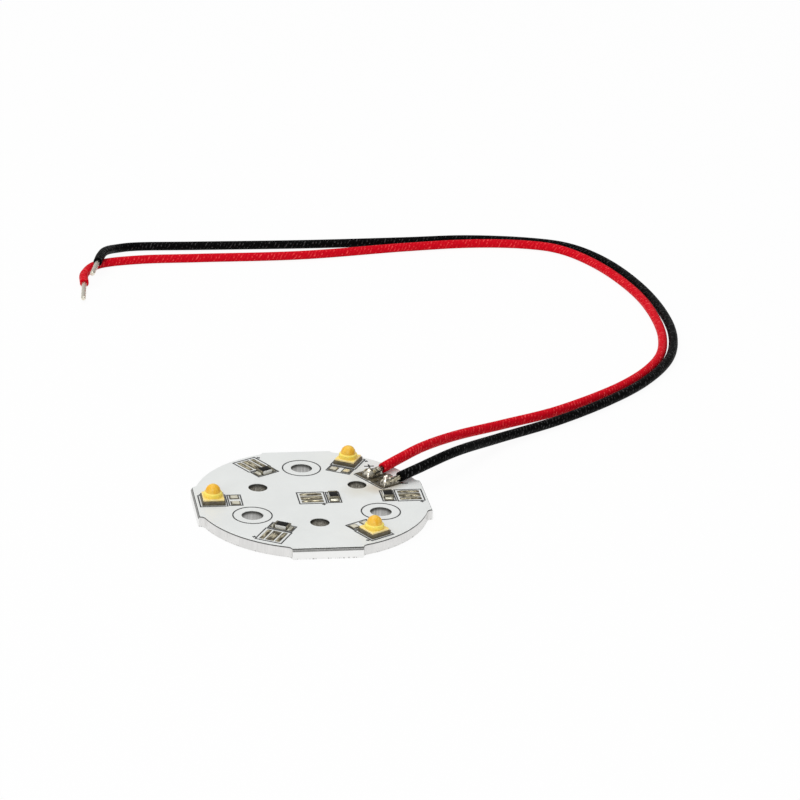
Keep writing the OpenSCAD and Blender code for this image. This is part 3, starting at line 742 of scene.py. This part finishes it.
def add_strands(bm, at, along, length):
    """Wires tinned together into one, from a sunk start to a rounded tip."""
    side, up = side_and_up(along)
    sides, steps, twist, depth = 56, max(8, round(length / 0.12)), math.radians(55), 0.13
    rings = []
    # how far along, and the share of the full width there
    stations = [(-STRANDS_SUNK + (length + STRANDS_SUNK) * k / steps, 1.0) for k in range(steps)]
    stations = [s for s in stations if s[0] < length - 0.26]
    stations += [(length - 0.24, 0.99), (length - 0.14, 0.94), (length - 0.06, 0.78), (length - 0.015, 0.5),
                 (length, 0.2)]
    for s, share in stations:
        ring = []
        for k in range(sides):
            angle = 2 * math.pi * k / sides
            groove = 1 - abs(math.cos(3.0 * (angle + s * twist)))
            reach = CORE_D / 2 * share * (1 - depth * groove)
            ring.append(at + along * s + side * (reach * math.cos(angle)) + up * (reach * math.sin(angle)))
        rings.append((ring, s))
    add_rings(bm, rings)


def add_wires(bm, at, along, length):
    """Seven wires laid side by side with a slight twist, a little spread at the joint."""
    side, up = side_and_up(along)
    thin, sides, steps = CORE_D / 6.2, 10, 14
    for wire in range(7):
        rings = []
        for k in range(steps + 1):
            s = -STRANDS_SUNK + (length + STRANDS_SUNK) * k / steps
            angle = math.radians(60 * wire + 28 * s)
            out = 0.0 if wire == 6 else CORE_D / 3 * (1 + 0.12 * max(0.0, s) * (wire % 2))
            middle = at + along * s + side * (out * math.cos(angle)) + up * (out * math.sin(angle))
            rings.append(([middle + side * (thin * math.cos(2 * math.pi * j / sides))
                           + up * (thin * math.sin(2 * math.pi * j / sides)) for j in range(sides)], s))
        add_rings(bm, rings)


def make_strands(name, at, along, length):
    """The bare strands at one end of a lead."""
    bm = bmesh.new()
    if name.endswith("tail"):
        add_wires(bm, at, along, length)
        return finish_piece(name, bm, TAIL_STRANDS, (name,), sharp=60)
    add_strands(bm, at, along, length)
    return finish_piece(name, bm, STRANDS, (name,), sharp=60)


def make_leads():
    """Both leads with the strands at each end."""
    for colour, rows, material, (tail_l, tip_l) in (("red", RED_ROUTE, RED_COVER, RED_BARE),
                                                    ("black", BLACK_ROUTE, BLACK_COVER, BLACK_BARE)):
        lead, path, length, start, end = make_lead(colour + "_lead", rows, material)
        make_strands(colour + "_tail", path[0], -start, tail_l)
        tip = make_strands(colour + "_tip", path[-1], end, tip_l)
        [p * MM for p in path]


make_leads()


# Solder: pads and joints raised from a grid, with a skirt down to the board


def add_raised(bm, place, size, height, cells, foot=-0.06, maps=None, shift=0.0):
    """A patch of solder: a grid with a height at each point, closed below, with two maps if wanted."""
    made = bmesh.ops.create_grid(bm, x_segments=cells[0], y_segments=cells[1], size=0.5)
    verts = made["verts"]
    edges = dict.fromkeys(e for v in verts for e in v.link_edges if len(e.link_faces) == 1)
    for v in verts:
        v.co = Vector((v.co.x * size[0], v.co.y * size[1], 0.0))
        v.co.z = height(v.co.x, v.co.y)
    skirt = bmesh.ops.extrude_edge_only(bm, edges=list(edges))["geom"]
    lower = [g for g in skirt if isinstance(g, bmesh.types.BMVert)]
    for v in lower:
        v.co.z = foot
    bottom = [g for g in skirt if isinstance(g, bmesh.types.BMEdge) and all(v in lower for v in g.verts)]
    bmesh.ops.contextual_create(bm, geom=bottom)
    if maps:
        bar, edge = maps
        for face in {f for v in verts for f in v.link_faces}:
            for loop in face.loops:
                x, y = loop.vert.co.x, loop.vert.co.y
                loop[bar].uv = (x + shift, y + shift * 0.37)
                loop[edge].uv = (2 * x / size[0], 2 * y / size[1])
    bmesh.ops.transform(bm, matrix=place, verts=list(verts) + lower)


def pillow(size, edge, crown, seed, uneven):
    """The height of reflowed tin on a pad: low at the edges and crowned between them."""
    shift = Vector((seed * 3.7, seed * 1.9, 0.3))

    def height(x, y):
        a, b = abs(2 * x / size[0]), abs(2 * y / size[1])
        swell = (1 - a ** 8) * (1 - b ** 4)
        lumps = noise.noise(Vector((x * 0.9, y * 1.6, 0)) + shift)
        return edge + crown * swell * (1 + uneven * lumps)

    return height


def make_site_pads():
    """Three tinned bars at every LED site, long side along the radius, with maps along each bar."""
    bm = bmesh.new()
    maps = (bm.loops.layers.uv.new("bar"), bm.loops.layers.uv.new("edge"))
    places = [(turned(angle, SITE_R), i) for i, angle in enumerate(RIM_SITES)] + [(Matrix.Identity(4), 6)]
    middle = BAR_MID_W / 2 + BAR_GAP + BAR_W / 2
    for site, i in places:
        for k, (across, width) in enumerate(((-middle, BAR_W), (0.0, BAR_MID_W), (middle, BAR_W))):
            size, number = (BAR_L, width), 3 * i + k
            add_raised(bm, site @ Matrix.Translation((0, across, PAD_TOP)), size,
                       pillow(size, edge=0.004, crown=0.12, seed=number, uneven=0.6),
                       cells=(30, 12), maps=maps, shift=4.1 * number)
    finish_piece("site_pads", bm, SITE_TIN, ("led_pads",), sharp=70)


def link_places():
    """The places of all link footprints, long side of the chip along y, and whether a chip is on them."""
    outer = [(turned(angle, SITE_R - LINK_OFFSET), angle in LINKED_SITES) for angle in RIM_SITES]
    return outer + [(Matrix.Translation((LINK_OFFSET, 0, 0)), True)]


def make_link_pads():
    """Two tinned pads at every link footprint."""
    bm = bmesh.new()
    maps = (bm.loops.layers.uv.new("bar"), bm.loops.layers.uv.new("edge"))
    size = (LINK_PAD_W, LINK_PAD_L)
    reach = LINK_PAD_GAP / 2 + LINK_PAD_L / 2
    for i, (place, _) in enumerate(link_places()):
        for k, side in enumerate((-1, 1)):
            number = 2 * i + k
            add_raised(bm, place @ Matrix.Translation((0, side * reach, PAD_TOP)), size,
                       pillow(size, edge=0.003, crown=0.1, seed=40 + number, uneven=0.5),
                       cells=(16, 16), maps=maps, shift=3.3 * number)
    finish_piece("link_pad_tin", bm, LINK_TIN, ("link_pads",), sharp=70)


def make_link_fillets():
    """Solder that climbs the ends of each chip link, and a grey film of flux and painted contact shade under
    and round the chip.
    """
    bm, flux_shade_film = bmesh.new(), bmesh.new()
    lap = 0.02
    length = LINK_PAD_GAP / 2 + LINK_PAD_L - LINK_L / 2 + lap
    size = (LINK_W + 0.02, length)

    def height(x, y):
        down = min(1.0, max(0.0, (y + length / 2) / length))
        across = 1 - abs(2 * x / size[0]) ** 5
        climb = 0.24 * (1 - down) ** 2.6 + 0.05 * (1 - down ** 4)
        return 0.004 + climb * across * (1 + 0.2 * noise.noise(Vector((x * 2, y * 2, 0.7))))

    spread = (LINK_W + 0.62, LINK_L - 0.3)

    def film(x, y):
        a, b = abs(2 * x / spread[0]), abs(2 * y / spread[1])
        uneven = 1 + 0.4 * noise.noise(Vector((x * 3, y * 3, 4.4)))
        return -0.03 + 0.045 * (1 - a ** 6) * (1 - b ** 6) * uneven

    for place, fitted in link_places():
        if fitted:
            for turn in (0, 180):
                at = Matrix.Rotation(math.radians(turn), 4, "Z")
                at = place @ at @ Matrix.Translation((0, LINK_L / 2 - lap + length / 2, PAD_TOP))
                add_raised(bm, at, size, height, cells=(18, 14))
            # flux and painted shade: a grey film under and round each fitted chip
            at = place @ Matrix.Translation((0, 0, PAD_TOP))
            add_raised(flux_shade_film, at, spread, film, cells=(24, 24), foot=-0.04)
    finish_piece("link_fillets", bm, FILLET_TIN, ("link_solder",), sharp=70)
    finish_piece("link_flux_and_shade", flux_shade_film, FLUX_AND_SHADE, sharp=70)


def add_block(bm, place, size, at, round_by, steps=2):
    """A block with rounded edges, centred at a point of the place."""
    shape = place @ Matrix.Translation(at) @ Matrix.Diagonal((size[0], size[1], size[2], 1.0))
    made = bmesh.ops.create_cube(bm, size=1.0, matrix=shape)
    edges = list(dict.fromkeys(e for v in made["verts"] for e in v.link_edges))
    bmesh.ops.bevel(bm, geom=edges, offset=round_by, offset_type="OFFSET", affect="EDGES",
                    segments=steps, profile=0.5, material=-1)


def make_links():
    """Chip links: ceramic body, black overcoat, and metal ends that wrap onto the sides."""
    body, coat, caps = bmesh.new(), bmesh.new(), bmesh.new()
    uv = body.loops.layers.uv.new("side")
    for place, fitted in link_places():
        if not fitted:
            continue
        base = place @ Matrix.Translation((0, 0, PAD_TOP))
        done = set(body.faces)
        add_block(body, base, (LINK_W, LINK_L - 0.06, LINK_H - 0.05), (0, 0, LINK_H / 2 - 0.015), 0.035)
        back = base.inverted()
        for face in body.faces:
            if face not in done:
                for loop in face.loops:
                    at = back @ loop.vert.co
                    loop[uv].uv = (at.y, at.z)
        add_block(coat, base, (LINK_W - 0.06, LINK_L - 2 * CAP_L, OVERCOAT_T),
                  (0, 0, LINK_H - OVERCOAT_T / 2), 0.03, 3)
        for side in (-1, 1):
            middle = (0, side * (LINK_L - CAP_L) / 2, LINK_H / 2)
            add_block(caps, base, (LINK_W + 0.03, CAP_L, LINK_H), middle, 0.07, 3)
    numbers = (1, 2, 3, 4)
    finish_piece("link_bodies", body, LINK_CERAMIC, [f"link_body_{n}" for n in numbers])
    finish_piece("link_overcoats", coat, LINK_GLAZE, [f"link_overcoat_{n}" for n in numbers])
    finish_piece("link_ends", caps, CAP_TIN, [f"link_caps_{n}" for n in numbers])


make_site_pads()
make_link_pads()
make_link_fillets()
make_links()


# Lead joints


def make_joints():
    """A blob and a neck on the red strands, and lumps along the black ones, each spread over its pad."""
    middle = LEAD_PAD_IN + LEAD_PAD_L / 2
    size = (LEAD_PAD_L, LEAD_PAD_W)

    def edge(x, y):
        """Full over the pad, falling to nothing at its edges."""
        return max(0.0, (1 - abs(2 * x / size[0]) ** 10) * (1 - abs(2 * y / size[1]) ** 10))

    def ball(far, r, base):
        """A ball's upper half that flows out at its foot."""
        turn = 0.94 * r
        lip = base + math.sqrt(r * r - turn * turn)
        if far < turn:
            return base + math.sqrt(r * r - far * far)
        return lip * math.exp((turn - far) / (0.16 * r))

    def together(*heights):
        """The highest of the heights, with the corners between them filled."""
        sharp, share = 10, 0.5
        highest = math.log(sum(math.exp(h * sharp) for h in heights)) / sharp
        return highest - math.log(len(heights)) / sharp * share

    def film(x, y):
        """Flux and tin that wet the rest of the pad in ripples."""
        return 0.09 + 0.07 * noise.noise(Vector((x * 1.4, y * 2.6, 7.7)))

    def red(x, y):
        out, across = x + middle, y + LEAD_PAD_T
        lumps = noise.noise(Vector((x * 0.9, y * 0.9, 2.3)))
        far = math.hypot(out - RED_BLOB[0], across - RED_BLOB[1])
        blob = ball(far * (1 + 0.1 * lumps), r=0.93, base=0.22)
        far = math.hypot((out - RED_NECK[0]) * 0.9, across - RED_NECK[1])
        neck = ball(far * (1 + 0.12 * lumps), r=0.6, base=0.6)
        return 0.004 + edge(x, y) * max(0.02, together(blob, neck, film(x, y)))

    def black(x, y):
        out, across = x + middle, y - LEAD_PAD_T
        ridge_side, ridge_from, ridge_to = BLACK_RIDGE
        sink = SINK * min(1.0, max(0.0, (out - RIDGE_SINKS) / SINK_L))
        beyond = max(0.0, ridge_from - out) + max(0.0, out - ridge_to)
        lumps = noise.noise(Vector((x * 1.7, y * 1.7, 5.1)))
        rough = 0.05 * noise.noise(Vector((x * 3.1, y * 3.1, 8.2)))
        ridge = ball(math.hypot(across - ridge_side, beyond), r=0.55 + 0.08 * lumps,
                     base=0.58 + 0.12 * lumps + rough - sink)
        far = math.hypot(out - BLACK_FRONT[0], across - BLACK_FRONT[1])
        front = ball(far * (1 + 0.15 * lumps), r=0.74, base=0.3 + rough)
        far = math.hypot((out - BLACK_BEHIND[0]) * 0.6, across - BLACK_BEHIND[1])
        behind = ball(far * (1 + 0.25 * lumps), r=0.5, base=0.42 + rough)
        far = math.hypot((out - BLACK_BRIDGE[0]) * 0.7, (across - BLACK_BRIDGE[1]) * 0.8)
        bridge = ball(far, r=0.45, base=0.22 + rough)
        return 0.004 + edge(x, y) * max(0.02, together(ridge, front, behind, bridge, film(x, y)))

    for name, side, height, also in (("red_joint", 1, red, ("lead_pads",)), ("black_joint", -1, black, ())):
        bm = bmesh.new()
        place = turned(LEAD_ANGLE, middle, side * LEAD_PAD_T, PAD_TOP)
        add_raised(bm, place, size, height, cells=(96, 76), foot=-0.04)
        finish_piece(name, bm, JOINT_SOLDER, (name,) + also, sharp=80)


make_joints()


# LEDs


def add_lens(bm, place):
    """Moulded lens: a square flange with soft edges, a round brim, and a dome with a round top."""
    tone = bm.verts.layers.float.get("lens_tone") or bm.verts.layers.float.new("lens_tone")
    add_block(bm, Matrix.Identity(4), (FLANGE_W, FLANGE_W, FLANGE_T), (0, 0, FLANGE_T / 2), 0.06, 4)
    for v in bm.verts:
        v[tone] = 0.10 if max(abs(v.co.x), abs(v.co.y)) < FLANGE_W / 2 - 0.05 else 0.0
    flange = set(bm.verts)
    r, brim = DOME_D / 2, BRIM_D / 2
    profile = [(brim + 0.05, FLANGE_T - 0.03, 0.13), (brim + 0.02, FLANGE_T + 0.02, 0.15),
               (brim, FLANGE_T + 0.07, 0.17), (brim, BRIM_H - BRIM_R, 0.24)]
    for k in range(1, 8):
        angle = math.radians(90 * k / 7)
        profile.append((brim - BRIM_R + BRIM_R * math.cos(angle), BRIM_H - BRIM_R + BRIM_R * math.sin(angle),
                        0.24 + 0.14 * k / 7))
    profile += [(r + 0.012, BRIM_H + 0.012, 0.42), (r, BRIM_H + 0.04, 0.46)]
    for k in range(1, 15):
        angle = math.radians(90 * k / 14)
        profile.append((r * math.cos(angle), LENS_H - r + r * math.sin(angle), 0.46 + 0.54 * k / 14))
    chain = [bm.verts.new((max(x, 0.0), 0, z)) for x, z, _ in profile]
    for v, (_, _, share) in zip(chain, profile):
        v[tone] = share
    edges = [bm.edges.new(pair) for pair in zip(chain, chain[1:])]
    bmesh.ops.spin(bm, geom=chain + edges, cent=(0, 0, 0), axis=(0, 0, 1), angle=2 * math.pi,
                   steps=56, use_merge=True)
    bmesh.ops.remove_doubles(bm, verts=[v for v in bm.verts if v not in flange], dist=0.0005)
    bmesh.ops.transform(bm, matrix=place, verts=bm.verts)


def make_leds():
    """The three LEDs: ceramic base and moulded lens, round the die that keeps its built shape."""
    for number, angle in enumerate(LED_SITES, 1):
        bm = bmesh.new()
        seat = turned(angle, SITE_R, 0, PAD_TOP)
        add_block(bm, seat, (LED_W, LED_W, LED_BASE_H), (0, 0, LED_BASE_H / 2), 0.05, 3)
        base, lens = f"led_base_{number}", f"led_lens_{number}"
        finish_piece(base, bm, LED_CERAMIC, (base,))
        bm = bmesh.new()
        add_lens(bm, turned(angle, SITE_R, 0, PAD_TOP + LED_BASE_H))
        finish_piece(lens, bm, LED_SILICONE, (lens,), sharp=60)


make_leds()


# Signs printed on the board


def make_signs():
    """A small plus beside every LED site, and a larger plus and minus beside the lead pads."""
    bm = bmesh.new()

    def bar(place, at, x_size, y_size):
        """One stroke of a sign, sunk a little into the mask."""
        add_block(bm, place, (x_size, y_size, SIGN_T), (*at, MASK_TOP + SIGN_T / 2 - 0.003), 0.008, 1)

    places = [turned(angle, SITE_R) for angle in RIM_SITES] + [Matrix.Identity(4)]
    for place in places:
        bar(place, SITE_SIGN_AT, SITE_SIGN_L, SITE_SIGN_W)
        bar(place, SITE_SIGN_AT, SITE_SIGN_W, SITE_SIGN_L)
    square = Matrix.Identity(4)
    bar(square, LEAD_PLUS_AT, 1.3, 0.25)
    bar(square, LEAD_PLUS_AT, 0.22, 1.1)
    bar(square, LEAD_MINUS_AT, 1.0, 0.25)
    finish_piece("polarity_signs", bm, INK)


make_signs()


# Finishes of the pieces that keep their built shape

for node_name, material in (("base_plate", PLATE_METAL), ("dielectric_layer", INSULATOR),
                            ("copper_tracks", COPPER), ("solder_mask", MASK_WHITE), ("printed_marks", INK),
                            ("led_die_1", LED_CONVERTER), ("led_die_2", LED_CONVERTER),
                            ("led_die_3", LED_CONVERTER)):
    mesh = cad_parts[node_name].data
    mesh.materials.clear()
    mesh.materials.append(material)
